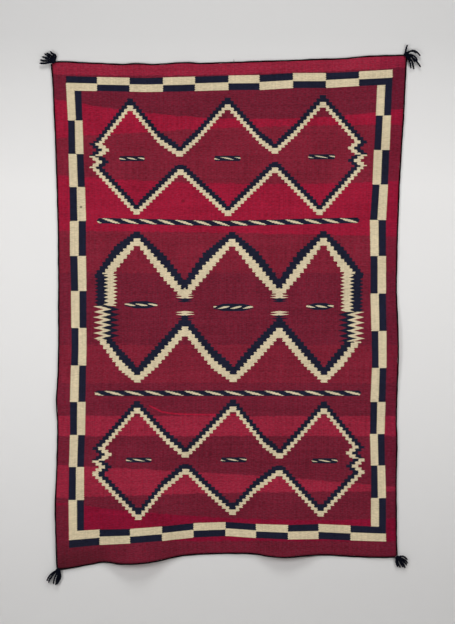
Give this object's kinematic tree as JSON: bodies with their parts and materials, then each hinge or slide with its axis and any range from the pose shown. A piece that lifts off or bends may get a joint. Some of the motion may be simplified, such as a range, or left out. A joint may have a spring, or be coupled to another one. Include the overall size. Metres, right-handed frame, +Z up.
{
  "type": "wearable blanket",
  "caption": "Handwoven wool wearing blanket hanging flat, with stepped zigzag bands, a block border, plied cords along its edges and loose tassels at its corners.",
  "frame": {"origin": "middle of the top edge, at mid thickness", "axes": "+Z up the hanging sheet, +X to the right seen from the front, -Y out of the patterned front and +Y towards the wall"},
  "size_m": [1.3898, 0.0504, 1.9714],
  "materials": {
    "weave": "matt weft-faced wool in reds, natural cream and navy",
    "cord": "matt plied navy wool",
    "tassel": "matt loose navy wool yarn"
  },
  "bodies": {
    "root": {"woven_sheet": "weave", "cord_top": "cord", "cord_bottom": "cord", "cord_left": "cord", "cord_right": "cord", "tassel_top_left": "tassel", "tassel_top_right": "tassel", "tassel_bottom_left": "tassel", "tassel_bottom_right": "tassel"}
  },
  "joints": []
}
